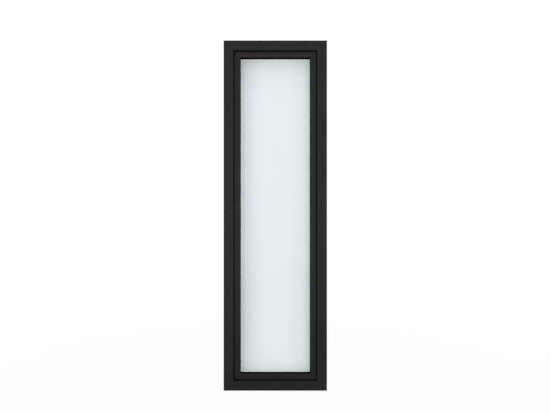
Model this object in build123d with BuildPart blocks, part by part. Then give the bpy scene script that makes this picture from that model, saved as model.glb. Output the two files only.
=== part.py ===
from build123d import *
import os

os.makedirs("parts", exist_ok=True)

# A single-leaf steel sliding window. X runs along the wall, Y from the outside (negative)
# to the inside, Z up. The origin is under the middle of the sill, at mid-depth.
# The leaf closes to the right, as seen from outside, and opens to the left into a wall pocket.

# Overall size, in millimetres
window_width = 590.0
window_height = 2000.0
frame_depth = 100.0

# Sheet steel that every profile is rolled from
wall = 2.0
bend_radius = 1.2

# Frame profile: a hollow channel whose lips hold the leaf at the front and the back
lip_width = 55.0
lip_thickness = 12.0
web_thickness = 26.0

# Leaf profile: a hollow section with a hardware groove outside and a glazing rebate inside
leaf_overlap = 20.0
leaf_gap = 4.0
rebate_floor = 45.0
flange_reach = 58.0
flange_thickness = 24.0
groove_width = 20.0
groove_depth = 16.0

# Insulating glass unit and what holds it
pane_thickness = 6.0
cavity_width = 12.0
packer_thickness = 5.0
packer_length = 100.0
packer_from_corner = 80.0
gasket_thickness = 4.0
gasket_bite = 10.0
gasket_reveal = 2.0
gasket_slope = 1.5
sealant_width = 5.0
spacer_height = 8.0
bead_wall = 1.2
bead_bevel = 2.0

# Weather seals between the lips and the leaf
seal_tail = 14.0
seal_reveal = 6.0
seal_height = 6.5
seal_rounding = 2.5

# Running gear
rail_width = 8.0
rail_height = 6.0
rail_rounding = 1.0
rail_side_gap = 0.5
running_gap = 0.3
wheel_tread_radius = 14.0
wheel_flange_radius = 17.0
wheel_side_gap = 0.5
axle_radius = 4.0
carriage_length = 100.0
carriage_plate = 2.0
carriage_top_plate = 3.0
carriage_skirt = 5.0
carriage_from_end = 90.0
guide_rail_width = 6.0
guide_rail_entry = 5.0
guide_block_length = 40.0
guide_block_from_end = 60.0
guide_slot_depth = 8.0
guide_side_gap = 0.5

# Flush pull on the inside face of the closing stile
pull_length = 140.0
pull_height = 1050.0
pull_depth = 10.0
pull_margin = 1.0
pull_rim = 1.5
pull_sheet = 1.0

# Thumb turn of the latch, on a round rose below the pull
turn_below_pull = 15.0
rose_thickness = 2.0
rose_chamfer = 0.5
turn_neck_radius = 4.0
turn_length = 15.0
turn_thickness = 5.0
turn_reach = 9.0
turn_chamfer = 1.0
turn_clearance = 0.3

# Fixing holes
fixing_radius = 4.5
fixing_row_spacing = 50.0
jamb_fixing_from_end = 200.0
jamb_fixing_count = 4
head_fixing_spacing = 300.0

# Drain slots through the sill, outside the rail
drain_length = 40.0
drain_width = 6.0
drain_from_end = 110.0

# Sizes worked out from those above
half_depth = frame_depth / 2
lip_back = half_depth - lip_thickness
leaf_half = lip_back - leaf_gap
leaf_inset = lip_width - leaf_overlap
leaf_width = window_width - 2 * leaf_inset
leaf_height = window_height - 2 * leaf_inset
flange_back = flange_thickness - leaf_half
glass_edge = rebate_floor + packer_thickness
sight_line = flange_reach + gasket_reveal
gasket_start = flange_reach - gasket_bite
bead_depth = flange_reach - rebate_floor
unit_thickness = 2 * pane_thickness + cavity_width
pane_front = flange_back + gasket_thickness
pane_back = pane_front + unit_thickness
bead_front = pane_back + gasket_thickness
rail_top = web_thickness + rail_height
axle_height = rail_top + running_gap + wheel_tread_radius
carriage_travel = leaf_width / 2 - carriage_from_end
guide_travel = leaf_width / 2 - guide_block_from_end
middle_height = window_height / 2


# Planes across the four sides of a rectangle centred in the window: local X runs from the
# front to the back, local Y inward from the outer edge and local Z along the side
def side_planes(width, height):
    return {
        "bottom": Plane((0, 0, middle_height - height / 2), x_dir=(0, 1, 0), z_dir=(1, 0, 0)),
        "top": Plane((0, 0, middle_height + height / 2), x_dir=(0, 1, 0), z_dir=(-1, 0, 0)),
        "right": Plane((width / 2, 0, middle_height), x_dir=(0, 1, 0), z_dir=(0, 0, 1)),
        "left": Plane((-width / 2, 0, middle_height), x_dir=(0, 1, 0), z_dir=(0, 0, -1)),
    }


def side_length(side, width, height):
    return width if side in ("bottom", "top") else height


# The plane that a mitre is drawn on: local X along the side and local Y inward
def mitre_plane(across):
    return Plane(across.origin, x_dir=across.z_dir, z_dir=-across.x_dir)


# A bar along one side of a rectangle, cut at 45 degrees at both ends
def mitred_bar(section, side, width, height):
    across = side_planes(width, height)[side]
    half_length = side_length(side, width, height) / 2
    reach = section.bounding_box().max.Y
    with BuildPart() as bar:
        with BuildSketch(across):
            add(section)
        extrude(amount=half_length, both=True)
        with BuildSketch(mitre_plane(across)):
            with BuildLine():
                Polyline(
                    (-half_length, 0),
                    (half_length, 0),
                    (half_length - reach, reach),
                    (reach - half_length, reach),
                    close=True,
                )
            make_face()
        extrude(amount=frame_depth, both=True, mode=Mode.INTERSECT)
    return bar


def write_piece(piece, label):
    piece.part.label = label
    export_step(piece.part, f"parts/{label}.step")


# Frame channel: a web with a lip at the front and one at the back
with BuildSketch() as channel_section:
    with BuildLine():
        Polyline(
            (-half_depth, 0),
            (half_depth, 0),
            (half_depth, lip_width),
            (lip_back, lip_width),
            (lip_back, web_thickness),
            (-lip_back, web_thickness),
            (-lip_back, lip_width),
            (-half_depth, lip_width),
            close=True,
        )
    make_face()
    lip_corners = channel_section.vertices().filter_by(lambda corner: corner.Y > web_thickness)
    outer_corners = channel_section.vertices().group_by(Axis.Y)[0]
    fillet(lip_corners + outer_corners, bend_radius)
    offset(amount=-wall, mode=Mode.SUBTRACT)

# Half jamb: one lip alone, so that the leaf passes between the front one and the back one
with BuildSketch() as half_jamb_section:
    with Locations((-half_depth + lip_thickness / 2, lip_width / 2)):
        Rectangle(lip_thickness, lip_width)
    fillet(half_jamb_section.vertices(), bend_radius)
    offset(amount=-wall, mode=Mode.SUBTRACT)


# Head or sill: mitred to the closing jamb, while at the pocket end only the lips are
# mitred and the web runs through to carry the leaf out into the pocket
def frame_beam(side, closing_end):
    across = side_planes(window_width, window_height)[side]
    along = mitre_plane(across)
    half_length = window_width / 2
    closing_corner = closing_end * half_length
    closing_mitre = closing_end * (half_length - lip_width)
    end_plate_middle = -closing_end * (half_length - wall / 2)
    with BuildPart() as beam:
        with BuildSketch(across):
            add(channel_section.sketch)
        extrude(amount=half_length, both=True)
        with BuildSketch(along):
            with Locations((end_plate_middle, web_thickness / 2)):
                Rectangle(wall, web_thickness)
        extrude(amount=lip_back, both=True)
        with BuildSketch(along):
            with BuildLine():
                Polyline(
                    (closing_corner, 0),
                    (closing_corner, lip_width),
                    (closing_mitre, lip_width),
                    close=True,
                )
            make_face()
        extrude(amount=frame_depth, both=True, mode=Mode.SUBTRACT)
        with BuildSketch(along.offset(lip_back), along.offset(-half_depth)):
            with BuildLine():
                Polyline(
                    (-closing_corner, 0),
                    (-closing_corner, lip_width),
                    (-closing_mitre, lip_width),
                    close=True,
                )
            make_face()
        extrude(amount=lip_thickness, mode=Mode.SUBTRACT)
    return beam


with BuildPart() as frame_head:
    add(frame_beam("top", -1).part)
    with Locations(Plane.XY.offset(window_height)):
        with GridLocations(head_fixing_spacing, fixing_row_spacing, 2, 2):
            Hole(fixing_radius, depth=web_thickness)
write_piece(frame_head, "frame_head")

drain_place = (rail_width / 2 + lip_back) / 2
with BuildPart() as frame_sill:
    add(frame_beam("bottom", 1).part)
    with BuildSketch(Plane.XY):
        with Locations((0, -drain_place)):
            with GridLocations(window_width - 2 * drain_from_end, 1, 2, 1):
                SlotOverall(drain_length, drain_width)
    extrude(amount=web_thickness, mode=Mode.SUBTRACT)
write_piece(frame_sill, "frame_sill")

jamb_fixing_pitch = (window_height - 2 * jamb_fixing_from_end) / (jamb_fixing_count - 1)
jamb_face = Plane((window_width / 2, 0, middle_height), x_dir=(0, 1, 0), z_dir=(1, 0, 0))
with BuildPart() as closing_jamb:
    add(mitred_bar(channel_section.sketch, "right", window_width, window_height).part)
    with Locations(jamb_face):
        with GridLocations(1, jamb_fixing_pitch, 1, jamb_fixing_count):
            Hole(fixing_radius, depth=web_thickness)
write_piece(closing_jamb, "closing_jamb")

pocket_jamb_front = mitred_bar(half_jamb_section.sketch, "left", window_width, window_height)
write_piece(pocket_jamb_front, "pocket_jamb_front")

with BuildPart() as pocket_jamb_back:
    mirror(pocket_jamb_front.part, about=Plane.XZ)
write_piece(pocket_jamb_back, "pocket_jamb_back")

# Leaf profile, with the wide flange on the outside face and the glazing rebate behind it
with BuildSketch() as leaf_section:
    with BuildLine():
        Polyline(
            (-leaf_half, 0),
            (-groove_width / 2, 0),
            (-groove_width / 2, groove_depth),
            (groove_width / 2, groove_depth),
            (groove_width / 2, 0),
            (leaf_half, 0),
            (leaf_half, rebate_floor),
            (flange_back, rebate_floor),
            (flange_back, flange_reach),
            (-leaf_half, flange_reach),
            close=True,
        )
    make_face()
    fillet(leaf_section.vertices().group_by(Axis.X)[0], bend_radius)
    fillet(leaf_section.vertices().group_by(Axis.X)[-1], bend_radius)
    offset(amount=-wall, mode=Mode.SUBTRACT)

leaf_top_rail = mitred_bar(leaf_section.sketch, "top", leaf_width, leaf_height)
write_piece(leaf_top_rail, "leaf_top_rail")

leaf_trailing_stile = mitred_bar(leaf_section.sketch, "left", leaf_width, leaf_height)
write_piece(leaf_trailing_stile, "leaf_trailing_stile")

# The groove's roof is cut through above each roller carriage
with BuildPart() as leaf_bottom_rail:
    add(mitred_bar(leaf_section.sketch, "bottom", leaf_width, leaf_height).part)
    with Locations(Plane.XY.offset(leaf_inset + groove_depth)):
        with GridLocations(2 * carriage_travel, 1, 2, 1):
            Box(
                carriage_length,
                groove_width,
                wall,
                align=(Align.CENTER, Align.CENTER, Align.MIN),
                mode=Mode.SUBTRACT,
            )
write_piece(leaf_bottom_rail, "leaf_bottom_rail")

# The pull takes up the face between the seal and the glazing bead
pull_rim_width = rebate_floor - leaf_overlap - seal_reveal - 2 * pull_margin
pull_cup_width = pull_rim_width - 2 * pull_rim
pull_cup_length = pull_length - 2 * pull_rim
pull_centre = (rebate_floor + leaf_overlap + seal_reveal) / 2
pull_face = Plane(
    (leaf_width / 2 - pull_centre, leaf_half, pull_height), x_dir=(0, 0, 1), z_dir=(0, 1, 0)
)
with BuildPart() as leaf_closing_stile:
    add(mitred_bar(leaf_section.sketch, "right", leaf_width, leaf_height).part)
    with BuildSketch(pull_face):
        SlotOverall(pull_cup_length, pull_cup_width)
    extrude(amount=-wall, mode=Mode.SUBTRACT)
write_piece(leaf_closing_stile, "leaf_closing_stile")

with BuildPart() as flush_pull:
    with BuildSketch(pull_face):
        SlotOverall(pull_length, pull_rim_width)
    extrude(amount=pull_sheet)
    with BuildSketch(pull_face):
        SlotOverall(pull_cup_length, pull_cup_width)
    extrude(amount=-pull_depth)
    with BuildSketch(pull_face.offset(pull_sheet)):
        SlotOverall(pull_cup_length - 2 * pull_sheet, pull_cup_width - 2 * pull_sheet)
    extrude(amount=-pull_depth, mode=Mode.SUBTRACT)
    cup_floor_edges = flush_pull.edges().group_by(Axis.Y)[1]
    chamfer(cup_floor_edges, pull_sheet)
write_piece(flush_pull, "flush_pull")

# Thumb turn: a round neck in the rose's bore, with a flat grip across it
rose_radius = pull_rim_width / 2
turn_height = pull_height - pull_length / 2 - turn_below_pull - rose_radius
turn_face = Plane(
    (leaf_width / 2 - pull_centre, leaf_half, turn_height), x_dir=(0, 0, 1), z_dir=(0, 1, 0)
)
with BuildPart() as latch_rose:
    with BuildSketch(turn_face):
        Circle(rose_radius)
    extrude(amount=rose_thickness)
    rose_edge = latch_rose.edges().group_by(Axis.Y)[-1]
    chamfer(rose_edge, rose_chamfer)
    with BuildSketch(turn_face):
        Circle(turn_neck_radius + turn_clearance)
    extrude(amount=rose_thickness, mode=Mode.SUBTRACT)
write_piece(latch_rose, "latch_rose")

with BuildPart() as latch_turn:
    with BuildSketch(turn_face):
        Circle(turn_neck_radius)
    extrude(amount=rose_thickness + turn_clearance)
    with BuildSketch(turn_face.offset(rose_thickness + turn_clearance)):
        SlotOverall(turn_length, turn_thickness)
    extrude(amount=turn_reach)
    grip_edges = latch_turn.edges().group_by(Axis.Y)[-1]
    chamfer(grip_edges, turn_chamfer)
write_piece(latch_turn, "latch_turn")


# Sealed glass unit: two panes held apart by a spacer bar, with sealant round its edge
def make_pane(pane_face):
    with BuildPart() as pane:
        with BuildSketch(Plane.XZ.offset(-pane_face)):
            with Locations((0, middle_height)):
                Rectangle(leaf_width - 2 * glass_edge, leaf_height - 2 * glass_edge)
        extrude(amount=-pane_thickness)
    return pane


outer_pane = make_pane(pane_front)
write_piece(outer_pane, "outer_pane")

inner_pane = make_pane(pane_back - pane_thickness)
write_piece(inner_pane, "inner_pane")


def cavity_ring(start, end):
    with BuildPart() as ring:
        with BuildSketch(Plane.XZ.offset(-pane_front - pane_thickness)):
            with Locations((0, middle_height)):
                Rectangle(leaf_width - 2 * start, leaf_height - 2 * start)
                Rectangle(leaf_width - 2 * end, leaf_height - 2 * end, mode=Mode.SUBTRACT)
        extrude(amount=-cavity_width)
    return ring


edge_sealant = cavity_ring(glass_edge, glass_edge + sealant_width)
write_piece(edge_sealant, "edge_sealant")

spacer_start = glass_edge + sealant_width
spacer_bar = cavity_ring(spacer_start, spacer_start + spacer_height)
write_piece(spacer_bar, "spacer_bar")

# Glazing gaskets: a strip on each side of the unit, with a sloped lip on the glass
with BuildSketch() as outer_gasket_section:
    with BuildLine():
        Polyline(
            (flange_back, gasket_start),
            (flange_back, flange_reach),
            (flange_back + gasket_slope, sight_line),
            (pane_front, sight_line),
            (pane_front, gasket_start),
            close=True,
        )
    make_face()

with BuildSketch() as inner_gasket_section:
    with BuildLine():
        Polyline(
            (bead_front, gasket_start),
            (bead_front, flange_reach),
            (bead_front - gasket_slope, sight_line),
            (pane_back, sight_line),
            (pane_back, gasket_start),
            close=True,
        )
    make_face()

with BuildPart() as outer_glazing_gasket:
    for side in ("bottom", "top", "left", "right"):
        add(mitred_bar(outer_gasket_section.sketch, side, leaf_width, leaf_height).part)
write_piece(outer_glazing_gasket, "outer_glazing_gasket")

with BuildPart() as inner_glazing_gasket:
    for side in ("bottom", "top", "left", "right"):
        add(mitred_bar(inner_gasket_section.sketch, side, leaf_width, leaf_height).part)
write_piece(inner_glazing_gasket, "inner_glazing_gasket")

# Glazing beads: square tubes with a bevel towards the room, the upright ones between the
# level ones
with BuildSketch() as bead_section:
    with Locations(((bead_front + leaf_half) / 2, (rebate_floor + flange_reach) / 2)):
        Rectangle(leaf_half - bead_front, bead_depth)
    room_corner = bead_section.vertices().sort_by(Axis.X)[-2:].sort_by(Axis.Y)[-1]
    chamfer(room_corner, bead_bevel)
    offset(amount=-bead_wall, mode=Mode.SUBTRACT)

level_bead_length = leaf_width - 2 * rebate_floor
upright_bead_length = leaf_height - 2 * flange_reach
bead_planes = side_planes(leaf_width, leaf_height)
for side in ("bottom", "top", "left", "right"):
    bead_length = side_length(side, level_bead_length, upright_bead_length)
    with BuildPart() as glazing_bead:
        with BuildSketch(bead_planes[side]):
            add(bead_section.sketch)
        extrude(amount=bead_length / 2, both=True)
    write_piece(glazing_bead, f"glazing_bead_{side}")

# Packers that carry the unit on the bottom rail and centre it between the stiles
with BuildSketch() as packer_section:
    with Locations(((pane_front + pane_back) / 2, rebate_floor + packer_thickness / 2)):
        Rectangle(unit_thickness, packer_thickness)

level_packer_place = leaf_width / 2 - glass_edge - packer_from_corner
upright_packer_place = leaf_height / 2 - glass_edge - packer_from_corner
packer_places = {
    "packer_bottom_trailing": ("bottom", -level_packer_place),
    "packer_bottom_closing": ("bottom", level_packer_place),
    "packer_side_trailing": ("left", -upright_packer_place),
    "packer_side_closing": ("right", upright_packer_place),
}
for label, (side, place) in packer_places.items():
    with BuildPart() as packer:
        with BuildSketch(bead_planes[side].offset(place - packer_length / 2)):
            add(packer_section.sketch)
        extrude(amount=packer_length)
    write_piece(packer, label)

# Weather seals: a tail between the lip and the leaf, and a rounded bulb past the lip's edge
with BuildSketch() as front_seal_section:
    with BuildLine():
        Polyline(
            (-lip_back, lip_width - seal_tail),
            (-lip_back, lip_width),
            (-leaf_half - seal_height, lip_width),
            (-leaf_half - seal_height, lip_width + seal_reveal),
            (-leaf_half, lip_width + seal_reveal),
            (-leaf_half, lip_width - seal_tail),
            close=True,
        )
    make_face()
    bulb_corners = front_seal_section.vertices().group_by(Axis.X)[0]
    fillet(bulb_corners.sort_by(Axis.Y)[-1], seal_rounding)

for side in ("bottom", "top", "left", "right"):
    front_seal = mitred_bar(front_seal_section.sketch, side, window_width, window_height)
    write_piece(front_seal, f"front_seal_{side}")
    with BuildPart() as back_seal:
        mirror(front_seal.part, about=Plane.XZ)
    write_piece(back_seal, f"back_seal_{side}")

# Running rail on the sill and guide rail under the head, both out to the pocket end
rail_start = -window_width / 2
rail_length = window_width - web_thickness
with BuildPart() as sill_rail:
    with BuildSketch(Plane.YZ.offset(rail_start)) as rail_section:
        with Locations((0, (web_thickness + rail_top) / 2)):
            Rectangle(rail_width, rail_height)
        fillet(rail_section.vertices().group_by(Axis.Y)[-1], rail_rounding)
    extrude(amount=rail_length)
write_piece(sill_rail, "sill_rail")

head_ceiling = window_height - web_thickness
leaf_top = window_height - leaf_inset
guide_rail_bottom = leaf_top - guide_rail_entry
with BuildPart() as head_guide_rail:
    with BuildSketch(Plane.YZ.offset(rail_start)):
        with Locations((0, (head_ceiling + guide_rail_bottom) / 2)):
            Rectangle(guide_rail_width, head_ceiling - guide_rail_bottom)
    extrude(amount=rail_length)
write_piece(head_guide_rail, "head_guide_rail")

# Guide blocks in the leaf's top groove, slotted for the guide rail
for end, place in (("trailing", -guide_travel), ("closing", guide_travel)):
    with BuildPart() as guide_block:
        with BuildSketch(Plane.YZ.offset(place - guide_block_length / 2)):
            with Locations((0, leaf_top - groove_depth / 2)):
                Rectangle(groove_width, groove_depth)
            with Locations((0, leaf_top - guide_slot_depth / 2)):
                Rectangle(
                    guide_rail_width + 2 * guide_side_gap, guide_slot_depth, mode=Mode.SUBTRACT
                )
        extrude(amount=guide_block_length)
    write_piece(guide_block, f"guide_block_{end}")

# Roller carriages: an upturned channel in the leaf's bottom groove, with the axle across it
carriage_bottom = leaf_inset + carriage_skirt
carriage_roof = axle_height + wheel_flange_radius + wheel_side_gap
carriage_top = carriage_roof + carriage_top_plate
carriage_inside = groove_width - 2 * carriage_plate
wheel_width = carriage_inside - 2 * wheel_side_gap
for end, place in (("trailing", -carriage_travel), ("closing", carriage_travel)):
    with BuildPart() as roller_carriage:
        with BuildSketch(Plane.YZ.offset(place - carriage_length / 2)):
            with Locations((0, (carriage_top + carriage_bottom) / 2)):
                Rectangle(groove_width, carriage_top - carriage_bottom)
            with Locations((0, (carriage_roof + carriage_bottom) / 2)):
                Rectangle(carriage_inside, carriage_roof - carriage_bottom, mode=Mode.SUBTRACT)
        extrude(amount=carriage_length)
        with BuildSketch(Plane.XZ.offset(-groove_width / 2)):
            with Locations((place, axle_height)):
                Circle(axle_radius)
        extrude(amount=groove_width)
    write_piece(roller_carriage, f"roller_carriage_{end}")

# Wheels with a flange on each side of the rail and a tread a hair's clearance above it
bore_radius = axle_radius + running_gap
tread_width = rail_width + 2 * rail_side_gap
for end, place in (("trailing", -carriage_travel), ("closing", carriage_travel)):
    axle_line = Plane((place, 0, axle_height), x_dir=(0, 1, 0), z_dir=(1, 0, 0))
    with BuildPart() as grooved_wheel:
        with BuildSketch(axle_line):
            with BuildLine():
                Polyline(
                    (-wheel_width / 2, bore_radius),
                    (wheel_width / 2, bore_radius),
                    (wheel_width / 2, wheel_flange_radius),
                    (tread_width / 2, wheel_flange_radius),
                    (tread_width / 2, wheel_tread_radius),
                    (-tread_width / 2, wheel_tread_radius),
                    (-tread_width / 2, wheel_flange_radius),
                    (-wheel_width / 2, wheel_flange_radius),
                    close=True,
                )
            make_face()
        revolve(axis=Axis((place, 0, axle_height), (0, 1, 0)))
    write_piece(grooved_wheel, f"grooved_wheel_{end}")
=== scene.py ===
import math
import bpy
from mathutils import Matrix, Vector


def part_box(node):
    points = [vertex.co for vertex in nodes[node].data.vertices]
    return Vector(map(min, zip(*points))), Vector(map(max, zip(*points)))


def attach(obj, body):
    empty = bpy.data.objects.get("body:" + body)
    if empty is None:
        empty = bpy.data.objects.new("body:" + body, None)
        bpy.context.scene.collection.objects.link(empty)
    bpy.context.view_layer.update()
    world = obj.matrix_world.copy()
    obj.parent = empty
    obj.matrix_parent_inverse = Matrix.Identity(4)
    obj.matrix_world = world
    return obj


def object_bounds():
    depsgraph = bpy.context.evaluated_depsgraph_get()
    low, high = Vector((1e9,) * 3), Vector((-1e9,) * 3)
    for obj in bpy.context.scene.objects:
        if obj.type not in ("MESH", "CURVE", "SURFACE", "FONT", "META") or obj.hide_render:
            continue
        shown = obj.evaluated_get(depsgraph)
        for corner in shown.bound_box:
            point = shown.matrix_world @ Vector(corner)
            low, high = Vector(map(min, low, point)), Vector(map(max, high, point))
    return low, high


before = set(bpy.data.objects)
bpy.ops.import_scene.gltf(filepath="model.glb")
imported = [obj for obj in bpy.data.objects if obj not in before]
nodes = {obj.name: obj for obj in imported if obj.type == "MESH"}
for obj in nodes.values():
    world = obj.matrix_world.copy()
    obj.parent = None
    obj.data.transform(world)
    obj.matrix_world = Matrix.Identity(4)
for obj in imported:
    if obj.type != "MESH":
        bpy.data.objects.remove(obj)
cadLow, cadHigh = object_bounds()
print("frame loaded:", len(nodes), "nodes")


# Shader graph helpers: Wire is one socket that does maths, Graph adds and links nodes

class Wire:
    def __init__(self, graph, socket):
        self.graph = graph
        self.socket = socket

    def maths(self, operation, first, second):
        return self.graph.node("ShaderNodeMath", {"operation": operation}, {0: first, 1: second})

    def __add__(self, other):
        return self.maths("ADD", self, other)

    def __radd__(self, other):
        return self.maths("ADD", other, self)

    def __sub__(self, other):
        return self.maths("SUBTRACT", self, other)

    def __rsub__(self, other):
        return self.maths("SUBTRACT", other, self)

    def __mul__(self, other):
        return self.maths("MULTIPLY", self, other)

    def __rmul__(self, other):
        return self.maths("MULTIPLY", other, self)

    def __truediv__(self, other):
        return self.maths("DIVIDE", self, other)

    def __pow__(self, other):
        return self.maths("POWER", self, other)

    def __abs__(self):
        return self.maths("ABSOLUTE", self, 0.0)

    def __mod__(self, other):
        return self.maths("FLOORED_MODULO", self, other)

    def __lt__(self, other):
        return self.maths("LESS_THAN", self, other)

    def __gt__(self, other):
        return self.maths("GREATER_THAN", self, other)

    def least(self, other):
        return self.maths("MINIMUM", self, other)

    def most(self, other):
        return self.maths("MAXIMUM", self, other)


class Graph:
    def __init__(self, tree):
        self.tree = tree

    def feed(self, socket, value):
        if isinstance(value, Wire):
            self.tree.links.new(value.socket, socket)
        else:
            socket.default_value = value

    def node(self, kind, settings=None, sockets=None, output=0):
        made = self.tree.nodes.new(kind)
        for key, value in (settings or {}).items():
            setattr(made, key, value)
        for key, value in (sockets or {}).items():
            self.feed(made.inputs[key], value)
        return Wire(self, made.outputs[output])

    def place(self, scale=(1, 1, 1)):
        point = self.node("ShaderNodeTexCoord", output="Object")
        return self.node("ShaderNodeMapping", sockets={"Vector": point, "Scale": scale})

    def axes(self, place):
        first = self.node("ShaderNodeSeparateXYZ", sockets={0: place})
        return [Wire(self, socket) for socket in first.socket.node.outputs]

    def noise(self, place, scale, detail=2.0, roughness=0.5):
        return self.node(
            "ShaderNodeTexNoise",
            sockets={"Vector": place, "Scale": scale, "Detail": detail, "Roughness": roughness},
        )

    def ramp(self, value, low, high):
        return self.node(
            "ShaderNodeMapRange",
            {"interpolation_type": "SMOOTHSTEP"},
            {"Value": value, "From Min": low, "From Max": high},
        )

    def blend(self, mask, first, second):
        made = self.node(
            "ShaderNodeMix",
            {"data_type": "RGBA", "blend_type": "MIX"},
            {"Factor": mask},
            output="Result",
        ).socket.node
        colours = [socket for socket in made.inputs if socket.type == "RGBA"]
        self.feed(colours[0], first)
        self.feed(colours[1], second)
        return Wire(self, next(socket for socket in made.outputs if socket.type == "RGBA"))

    def bump(self, height, strength, distance):
        return self.node(
            "ShaderNodeBump",
            sockets={"Height": height, "Strength": strength, "Distance": distance},
        )


class Finish(Graph):
    def __init__(self, name):
        self.material = bpy.data.materials.new(name)
        self.material.use_nodes = True
        super().__init__(self.material.node_tree)
        self.shader = self.tree.nodes["Principled BSDF"]
        self.output = self.tree.nodes["Material Output"]

    def surface(self, **sockets):
        for key, value in sockets.items():
            self.feed(self.shader.inputs[key.replace("_", " ")], value)
        return self.material

    def mixed(self, mask, first, second):
        both = self.node("ShaderNodeMixShader", sockets={0: mask, 1: first, 2: second})
        self.feed(self.output.inputs["Surface"], both)


def shade(red, green, blue, factor=1.0):
    return (red * factor, green * factor, blue * factor, 1.0)


black = shade(0, 0, 0)


# Powder coat: near-black and fine-textured, with a soft orange peel and a speckled grain whose light
# tips and dark pits are partly painted highlight and painted shade; painted shade darkens it towards
# the foot and on the leaf's glazing edge

powderCoat = {
    "frame": (0.0141, 0.0142, 0.0143),
    "leaf": (0.0138, 0.0151, 0.0149),
    "revealShade": (0.0010, 0.0010, 0.0010),  # painted shade: the leaf's thin edge round the outer pane, near black as if in shadow
    "edgeMargin": 0.0005,
    "edgeFade": 0.0030,
    "cloudScale": 6.0,
    "cloudSpan": (0.35, 0.65),
    "cloudShare": 0.16,  # of the tone; the grain has the rest
    "grainScale": 900.0,
    "grainSpan": (0.32, 0.68),
    "peelScale": 260.0,
    "tone": 0.48,  # lightest and darkest, each side of the colour; on the grain partly painted highlight and painted shade
    # painted shade: the paint is darker towards the floor, down to this share at the foot, fading out
    # by the height
    "footShadeTone": 0.77,
    "footShadeHeight": 0.60,
    "roughness": 0.52,
    "cloudRoughness": 0.10,
    "grainRoughness": 0.12,
    "grainHeight": 0.5,  # beside the peel's 1
    "bump": (0.5, 0.0001),
    "specular": 0.12,
}


# Where the painted shade goes: the leaf's glazing edge round the outer pane
def revealShadeMask(coat, across, depth, upward):
    margin = powderCoat["edgeMargin"]
    railLow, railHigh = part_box("leaf_bottom_rail")
    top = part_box("leaf_top_rail")[0].z
    gasketLow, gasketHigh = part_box("outer_glazing_gasket")
    inside = (abs(across) < gasketHigh.x) * (upward > railHigh.z - margin) * (upward < top + margin)
    fade = coat.ramp(depth, railLow.y + margin, railLow.y + powderCoat["edgeFade"])
    return inside * fade * (depth < gasketLow.y + margin)


def makePowderCoat(name, colour, shadedReveal=False):
    coat = Finish(name)
    place = coat.place()
    across, depth, upward = coat.axes(place)
    cloud = coat.noise(place, powderCoat["cloudScale"], detail=3.0)
    grain = coat.noise(place, powderCoat["grainScale"], detail=3.0, roughness=0.6)
    peel = coat.noise(place, powderCoat["peelScale"])
    share = powderCoat["cloudShare"]
    # the grain's light tips and dark pits: partly random speckle, partly painted highlight and painted
    # shade on the bumps
    lightness = coat.ramp(cloud, *powderCoat["cloudSpan"]) * share
    lightness = lightness + coat.ramp(grain, *powderCoat["grainSpan"]) * (1 - share)
    tone = powderCoat["tone"]
    paint = coat.blend(lightness, shade(*colour, 1 - tone), shade(*colour, 1 + tone))
    # painted shade, darker towards the foot
    foot = 1 - coat.ramp(upward, 0.0, powderCoat["footShadeHeight"])
    paint = coat.blend(foot * (1 - powderCoat["footShadeTone"]), paint, black)
    rough = powderCoat["roughness"] + (cloud - 0.5) * powderCoat["cloudRoughness"]
    rough = rough + (grain - 0.5) * powderCoat["grainRoughness"]
    # painted shade: a near-black matt shader takes the place of the paint on the glazing edge
    if shadedReveal:
        dull = coat.node("ShaderNodeBsdfDiffuse", sockets={"Color": shade(*powderCoat["revealShade"])})
        painted = Wire(coat, coat.shader.outputs["BSDF"])
        coat.mixed(revealShadeMask(coat, across, depth, upward), painted, dull)
    skin = coat.bump(grain * powderCoat["grainHeight"] + peel, *powderCoat["bump"])
    coat.shader.inputs["Specular IOR Level"].default_value = powderCoat["specular"]
    return coat.surface(Base_Color=paint, Roughness=rough, Normal=skin)


framePaint = makePowderCoat("powder_coat_frame", powderCoat["frame"])
leafPaint = makePowderCoat("powder_coat_leaf", powderCoat["leaf"], shadedReveal=True)
print("powder coat made")


# Glass: the outer pane is satin and white in the body, with painted shadows at its edges and painted
# shade and light up its height, and the inner one is clear

satinGlass = {
    "colour": (0.803, 0.861, 0.861),
    "middleShade": 0.058,  # painted shade: darker than the foot, from the first height to the second
    "middleSpan": (0.1, 0.9),
    "topLight": 0.010,  # painted light: a little lighter again towards the top
    "topSpan": (1.2, 1.7),
    "backShade": 0.10,  # painted shade: the face inside the unit is darker overall, and takes the next share of the painted edge shadows
    "backEdgeShadows": 0.5,
    "edges": {  # painted shadows: darkening at each edge, and how far in it reaches
        "left": (0.22, 0.14),
        "right": (0.09, 0.14),
        "top": (0.17, 0.11),
        "bottom": (0.06, 0.07),
    },
    "edgeCurve": 1.3,
    "rim": (0.006, 0.014),  # the painted shadow is left off beside the gasket, where the real shadow is enough
    "hidden": 0.010,  # under the gasket
    "mottle": 0.012,
    "mottleScale": 9.0,
    "roughness": 0.12,
    "haze": 0.04,
    "hazeScale": 3.0,
}

clearGlass = {
    "tint": (0.982, 0.990, 0.986, 1.0),
    "roughness": 0.25,
    "mirror": 0.04,  # seen straight on; all of it at a glancing angle
    "mirrorCurve": 5,
}


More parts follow.
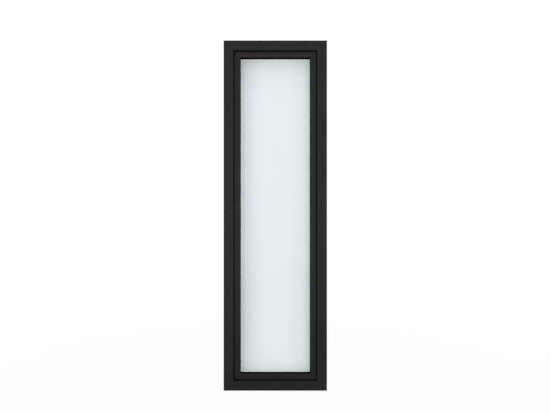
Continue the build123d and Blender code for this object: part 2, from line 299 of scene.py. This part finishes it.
def makeSatinGlass():
    satin = Finish("satin_glass")
    low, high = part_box("outer_pane")
    place = satin.place()
    across, depth, upward = satin.axes(place)
    gaps = {
        "left": across - low.x,
        "right": high.x - across,
        "top": high.z - upward,
        "bottom": upward - low.z,
    }
    mottle = satin.noise(place, satinGlass["mottleScale"], detail=3.0) - 0.5
    front = mottle * satinGlass["mottle"]
    # painted shade up the pane's height, eased by painted light towards the top
    front = front + satin.ramp(upward, *satinGlass["middleSpan"]) * satinGlass["middleShade"]
    front = front - satin.ramp(upward, *satinGlass["topSpan"]) * satinGlass["topLight"]
    back = satinGlass["backShade"]
    # painted shadows along the edges, darkest at the left and top
    for side, (dark, reach) in satinGlass["edges"].items():
        gap = gaps[side] - satinGlass["hidden"]
        inward = (gap / reach).least(1).most(0)
        shadow = (1 - inward) ** satinGlass["edgeCurve"] * dark
        front = front + shadow * satin.ramp(gap, *satinGlass["rim"])
        back = shadow * satinGlass["backEdgeShadows"] + back
    # the face inside the unit gets its own painted shade
    behind = depth > (low.y + high.y) / 2
    dark = behind * back + (1 - behind) * front
    body = satin.blend(dark, shade(*satinGlass["colour"]), black)
    haze = satin.noise(place, satinGlass["hazeScale"]) * satinGlass["haze"]
    return satin.surface(Base_Color=body, Roughness=satinGlass["roughness"] + haze)


def makeClearGlass():
    clear = Finish("clear_glass")
    through = clear.node("ShaderNodeBsdfTransparent", sockets={"Color": clearGlass["tint"]})
    mirror = clear.node("ShaderNodeBsdfGlossy", sockets={"Roughness": clearGlass["roughness"]})
    slant = clear.node("ShaderNodeLayerWeight", sockets={"Blend": 0.5}, output="Facing")
    straight = clearGlass["mirror"]
    clear.mixed(straight + slant ** clearGlass["mirrorCurve"] * (1 - straight), through, mirror)
    clear.tree.nodes.remove(clear.shader)
    return clear.material


satinPane = makeSatinGlass()
clearPane = makeClearGlass()
print("glass made")


# Rubber: matt, with a fine grain and a little dust

rubber = {
    "gasket": (0.0020, 0.0021, 0.0022),
    "seal": (0.0030, 0.0031, 0.0032),
    "dustScale": 40.0,
    "dustSpan": (0.4, 0.75),
    "dustTone": 1.8,
    "grainScale": 1800.0,
    "roughness": 0.8,
    "grainRoughness": 0.15,
    "bump": (0.25, 0.00005),
    "specular": 0.08,
}


def makeRubber(name, colour):
    soft = Finish(name)
    place = soft.place()
    dust = soft.ramp(soft.noise(place, rubber["dustScale"], detail=4.0), *rubber["dustSpan"])
    grain = soft.noise(place, rubber["grainScale"], detail=1.0)
    body = soft.blend(dust, shade(*colour), shade(*colour, rubber["dustTone"]))
    rough = rubber["roughness"] + (grain - 0.5) * rubber["grainRoughness"]
    skin = soft.bump(grain, *rubber["bump"])
    soft.shader.inputs["Specular IOR Level"].default_value = rubber["specular"]
    return soft.surface(Base_Color=body, Roughness=rough, Normal=skin)


gasketRubber = makeRubber("gasket_rubber", rubber["gasket"])
sealRubber = makeRubber("seal_rubber", rubber["seal"])
print("rubber made")


# Steel: brushed along one direction, with light scratches

brushedSteel = {
    "plain": ((0.33, 0.33, 0.325), 0.42),  # colour and roughness
    "wheel": ((0.60, 0.60, 0.60), 0.22),
    "screw": ((0.16, 0.16, 0.16), 0.34),
    "fine": 1600.0,
    "along": 16.0,
    "lineSpan": (0.3, 0.7),
    "tones": (0.80, 1.15),
    "smudgeScale": 22.0,
    "lineRoughness": 0.16,
    "smudgeRoughness": 0.12,
    "bump": (0.3, 0.00003),
}


def makeBrushed(name, direction, kind):
    colour, roughness = brushedSteel[kind]
    metal = Finish(name)
    scale = [brushedSteel["fine"]] * 3
    scale[direction] = brushedSteel["along"]
    lines = metal.noise(metal.place(tuple(scale)), 1.0, detail=3.0, roughness=0.6)
    lines = metal.ramp(lines, *brushedSteel["lineSpan"])
    smudge = metal.noise(metal.place(), brushedSteel["smudgeScale"], detail=3.0)
    darker, lighter = brushedSteel["tones"]
    body = metal.blend(lines, shade(*colour, darker), shade(*colour, lighter))
    rough = roughness + (lines - 0.5) * brushedSteel["lineRoughness"]
    rough = rough + (smudge - 0.5) * brushedSteel["smudgeRoughness"]
    skin = metal.bump(lines, *brushedSteel["bump"])
    metal.shader.inputs["Metallic"].default_value = 1.0
    return metal.surface(Base_Color=body, Roughness=rough, Normal=skin)


railSteel = makeBrushed("rail_steel", 0, "plain")
pullSteel = makeBrushed("pull_steel", 2, "plain")
wheelSteel = makeBrushed("wheel_steel", 1, "wheel")
screwSteel = makeBrushed("screw_steel", 1, "screw")


# Zinc plate: small flakes under a patchy tarnish

zinc = {
    "dull": (0.42, 0.43, 0.45),
    "bright": (0.60, 0.60, 0.58),
    "flakeScale": 420.0,
    "tarnishScale": 60.0,
    "roughness": 0.34,
    "flakeRoughness": 0.10,
    "tarnishRoughness": 0.10,
}


def makeZinc():
    plate = Finish("zinc_plate")
    place = plate.place()
    flakes = plate.node(
        "ShaderNodeTexVoronoi",
        sockets={"Vector": place, "Scale": zinc["flakeScale"]},
    )
    tarnish = plate.noise(place, zinc["tarnishScale"], detail=4.0)
    body = plate.blend(tarnish, shade(*zinc["dull"]), shade(*zinc["bright"]))
    rough = zinc["roughness"] + flakes * zinc["flakeRoughness"] + tarnish * zinc["tarnishRoughness"]
    plate.shader.inputs["Metallic"].default_value = 1.0
    return plate.surface(Base_Color=body, Roughness=rough)


zincPlate = makeZinc()


# Spacer bar: mill aluminium, with two rows of fine holes along its face drawn as dark dots of painted
# shade, not cut

spacer = {
    "colour": (0.62, 0.63, 0.64),
    "holeShade": (0.05, 0.05, 0.05),
    "pitch": 0.0022,
    "hole": 0.00035,
    "rowGap": 0.0030,
    "roughness": 0.38,
    "holeRoughness": 0.3,
}


def makeSpacer():
    bar = Finish("spacer_metal")
    low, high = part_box("spacer_bar")
    across, depth, upward = bar.axes(bar.place())
    offRow = abs(abs(depth - (low.y + high.y) / 2) - spacer["rowGap"] / 2)
    pitch = spacer["pitch"]
    alongX = abs(across % pitch - pitch / 2)
    alongZ = abs(upward % pitch - pitch / 2)
    near = alongX.most(alongZ).least(alongX + alongZ)
    # painted shade: the holes are dark dots in the colour, not cut into the bar
    holes = (near < spacer["hole"]) * (offRow < spacer["hole"])
    body = bar.blend(holes, shade(*spacer["colour"]), shade(*spacer["holeShade"]))
    bar.shader.inputs["Metallic"].default_value = 1.0
    rough = spacer["roughness"] + holes * spacer["holeRoughness"]
    return bar.surface(Base_Color=body, Roughness=rough)


spacerMetal = makeSpacer()


# Plastics: moulded, faintly speckled

plastic = {
    "guide": (0.030, 0.030, 0.031),
    "packer": (0.045, 0.10, 0.22),
    "speckleScale": 700.0,
    "tones": (0.85, 1.15),
    "roughness": 0.5,
    "speckleRoughness": 0.2,
    "bump": (0.15, 0.00005),
}


def makePlastic(name, colour):
    moulded = Finish(name)
    speckle = moulded.noise(moulded.place(), plastic["speckleScale"])
    darker, lighter = plastic["tones"]
    body = moulded.blend(speckle, shade(*colour, darker), shade(*colour, lighter))
    rough = plastic["roughness"] + (speckle - 0.5) * plastic["speckleRoughness"]
    skin = moulded.bump(speckle, *plastic["bump"])
    return moulded.surface(Base_Color=body, Roughness=rough, Normal=skin)


guidePlastic = makePlastic("guide_plastic", plastic["guide"])
packerPlastic = makePlastic("packer_plastic", plastic["packer"])
print("metals and plastics made")


# Finishes go onto the nodes by the start of their names

finishes = {
    "frame_": framePaint,
    "closing_jamb": framePaint,
    "pocket_jamb": framePaint,
    "leaf_": leafPaint,
    "glazing_bead": leafPaint,
    "outer_pane": satinPane,
    "inner_pane": clearPane,
    "spacer_bar": spacerMetal,
    "edge_sealant": gasketRubber,
    "outer_glazing_gasket": gasketRubber,
    "inner_glazing_gasket": gasketRubber,
    "front_seal": sealRubber,
    "back_seal": sealRubber,
    "sill_rail": railSteel,
    "head_guide_rail": railSteel,
    "roller_carriage": zincPlate,
    "grooved_wheel": wheelSteel,
    "guide_block": guidePlastic,
    "packer_": packerPlastic,
    "flush_pull": pullSteel,
    "latch_": pullSteel,
}

for nodeName, node in nodes.items():
    material = next(finish for start, finish in finishes.items() if nodeName.startswith(start))
    node.data.materials.clear()
    node.data.materials.append(material)
print("finishes on the nodes")


# Bead screws: low domed heads with a six-lobed socket, on the room face of the beads

beadScrew = {
    "radius": 0.0034,
    "height": 0.0014,
    "sides": 24,
    "dome": 0.75,  # of the height
    "domeSteps": 3,
    "socket": 0.0017,
    "socketDepth": 0.0009,
    "lobes": 6,
    "lobe": 0.72,  # inner radius of the socket over the outer
    "smoothAngle": 35,
    "fromEnd": 0.060,
    "pitch": 0.290,
}


def deselectAll():
    for thing in bpy.context.selected_objects:
        thing.select_set(False)


def pickFaces(mesh, wanted):
    bpy.ops.object.mode_set(mode="OBJECT")
    for part in (mesh.vertices, mesh.edges, mesh.polygons):
        part.foreach_set("select", [False] * len(part))
    for face in mesh.polygons:
        face.select = wanted(face)
    bpy.ops.object.mode_set(mode="EDIT")


def makeScrewHead():
    deselectAll()
    radius, height = beadScrew["radius"], beadScrew["height"]
    socket, lobe = beadScrew["socket"], beadScrew["lobe"]
    dome = height * beadScrew["dome"]
    bpy.ops.mesh.primitive_cylinder_add(
        vertices=beadScrew["sides"],
        radius=radius,
        depth=height,
        location=(0, height / 2, 0),
        rotation=(-math.pi / 2, 0, 0),
    )
    head = bpy.context.object
    bpy.ops.object.transform_apply(location=True, rotation=True, scale=True)
    mesh = head.data
    bpy.ops.object.mode_set(mode="EDIT")
    bpy.ops.mesh.select_mode(type="FACE")
    # The end is rounded, and the flat left in its middle is sunk for the socket
    pickFaces(mesh, lambda face: face.normal.y > 0.9)
    bpy.ops.mesh.bevel(offset=dome, segments=beadScrew["domeSteps"], affect="EDGES")
    pickFaces(mesh, lambda face: face.normal.y > 0.99 and len(face.vertices) > 8)
    bpy.ops.mesh.inset(thickness=radius - dome - socket)
    bpy.ops.mesh.extrude_region_move(
        TRANSFORM_OT_translate={"value": (0, -beadScrew["socketDepth"], 0)}
    )
    bpy.ops.object.mode_set(mode="OBJECT")
    for corner in mesh.vertices:
        reach = math.hypot(corner.co.x, corner.co.z)
        turn = math.atan2(corner.co.z, corner.co.x)
        if 0.0001 < reach < socket * 1.02:  # on the socket's rim or floor, off its middle
            wave = lobe + (1 - lobe) * (0.5 + 0.5 * math.cos(beadScrew["lobes"] * turn))
            corner.co.x *= wave
            corner.co.z *= wave
    bpy.ops.object.shade_smooth_by_angle(angle=math.radians(beadScrew["smoothAngle"]))
    return head


def spread(low, high):
    first = low + beadScrew["fromEnd"]
    last = high - beadScrew["fromEnd"]
    gaps = max(1, math.ceil((last - first) / beadScrew["pitch"]))
    return [first + (last - first) * step / gaps for step in range(gaps + 1)]


def makeScrews(side, screwHead):
    low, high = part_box("glazing_bead_" + side)
    if side in ("top", "bottom"):
        middle = (low.z + high.z) / 2
        places = [(x, high.y, middle) for x in spread(low.x, high.x)]
    else:
        middle = (low.x + high.x) / 2
        places = [(middle, high.y, z) for z in spread(low.z, high.z)]
    deselectAll()
    copies = []
    for place in places:
        copy = bpy.data.objects.new("screw", screwHead.data.copy())
        bpy.context.collection.objects.link(copy)
        copy.location = place
        copy.select_set(True)
        copies.append(copy)
    bpy.context.view_layer.objects.active = copies[0]
    bpy.ops.object.transform_apply(location=True, rotation=True, scale=True)
    bpy.ops.object.join()
    screws = bpy.context.object
    screws.name = "bead_screws_" + side
    screws.data.materials.clear()
    screws.data.materials.append(screwSteel)
    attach(screws, "root")


screwHead = makeScrewHead()
for side in ("top", "bottom", "left", "right"):
    makeScrews(side, screwHead)
bpy.data.objects.remove(screwHead)
print("bead screws made")


# Studio: pale floor, white world, soft lamps on all four sides

studio = {
    "floorSize": 14.0,
    "floorDrop": 0.0005,
    "floorColour": (0.70, 0.70, 0.70, 1.0),
    "floorRoughness": 0.9,
    "floorGlow": 0.95,  # the share of plain white in the floor, near the object
    "glowSpan": (1.0, 3.5),  # and how far out it rises to all of it
    "ambient": 0.55,  # the world's strength where it isn't seen directly
    "lamps": {  # place, power, size
        "key_left": ((-2.1, -4.0, 1.5), 60.0, (4.2, 2.8)),
        "fill_right": ((2.1, -4.1, 1.5), 46.0, (4.2, 2.8)),
        "back_left": ((-2.1, 4.1, 1.5), 46.0, (4.2, 2.8)),
        "back_right": ((2.1, 4.0, 1.5), 60.0, (4.2, 2.8)),
        "side_left": ((-3.6, 0.0, 1.5), 38.0, (4.2, 2.8)),
        "side_right": ((3.6, 0.0, 1.5), 38.0, (4.2, 2.8)),
    },
    "aim": (0.0, 0.0, 1.05),
}
white = (1, 1, 1, 1)


def directRays(graph):
    rays = ("Is Camera Ray", "Is Glossy Ray", "Is Transmission Ray")
    straight, glossy, through = (graph.node("ShaderNodeLightPath", output=ray) for ray in rays)
    return straight.most(glossy).most(through)


def makeWorld():
    world = bpy.data.worlds.new("studio")
    bpy.context.scene.world = world
    world.use_nodes = True
    sky = Graph(world.node_tree)
    seen = directRays(sky)
    background = world.node_tree.nodes["Background"]
    background.inputs["Color"].default_value = white
    sky.feed(background.inputs["Strength"], seen + (1 - seen) * studio["ambient"])


def makeFloor():
    deselectAll()
    bpy.ops.mesh.primitive_plane_add(size=studio["floorSize"], location=(0, 0, -studio["floorDrop"]))
    floor = bpy.context.object
    floor.name = "floor"
    bpy.ops.object.transform_apply(location=True)
    ground = Finish("floor_white")
    ground.surface(Base_Color=studio["floorColour"], Roughness=studio["floorRoughness"])
    across, along = ground.axes(ground.place())[:2]
    far = ground.ramp((across * across + along * along) ** 0.5, *studio["glowSpan"])
    share = directRays(ground) * (studio["floorGlow"] + far * (1 - studio["floorGlow"]))
    lit = Wire(ground, ground.shader.outputs["BSDF"])
    glow = ground.node("ShaderNodeEmission", sockets={"Color": white, "Strength": 1.0})
    ground.mixed(share, lit, glow)
    floor.data.materials.append(ground.material)


def makeLamps():
    for name, (place, power, (width, height)) in studio["lamps"].items():
        lamp = bpy.data.lights.new(name, "AREA")
        lamp.shape = "RECTANGLE"
        lamp.energy = power
        lamp.size = width
        lamp.size_y = height
        stand = bpy.data.objects.new(name, lamp)
        bpy.context.collection.objects.link(stand)
        stand.location = place
        aim = Vector(studio["aim"]) - Vector(place)
        stand.rotation_euler = aim.to_track_quat("-Z", "Y").to_euler()


makeWorld()
makeFloor()
makeLamps()
print("studio made")


# Camera: level, square to the window, its centre found in the photo's pixels

camera = {
    "distance": 2.973,
    "metresPerPixel": 0.005709,
    "photoWidth": 550,
    "photoHeight": 413,
    "centreX": 275.3,
    "centreY": 215.6,
    "sensor": 36.0,
}


def makeCamera():
    eye = bpy.data.cameras.new("camera")
    viewWidth = camera["photoWidth"] * camera["metresPerPixel"]
    eye.sensor_width = camera["sensor"]
    eye.lens = camera["sensor"] * camera["distance"] / viewWidth
    eye.shift_x = (camera["photoWidth"] / 2 - camera["centreX"]) / camera["photoWidth"]
    eye.shift_y = (camera["centreY"] - camera["photoHeight"] / 2) / camera["photoWidth"]
    stand = bpy.data.objects.new("camera", eye)
    bpy.context.collection.objects.link(stand)
    middle = (cadLow + cadHigh) / 2
    stand.location = (middle.x, cadLow.y - camera["distance"], middle.z)
    stand.rotation_euler = (math.pi / 2, 0, 0)
    bpy.context.scene.camera = stand


makeCamera()
bpy.context.scene.view_settings.view_transform = "Standard"
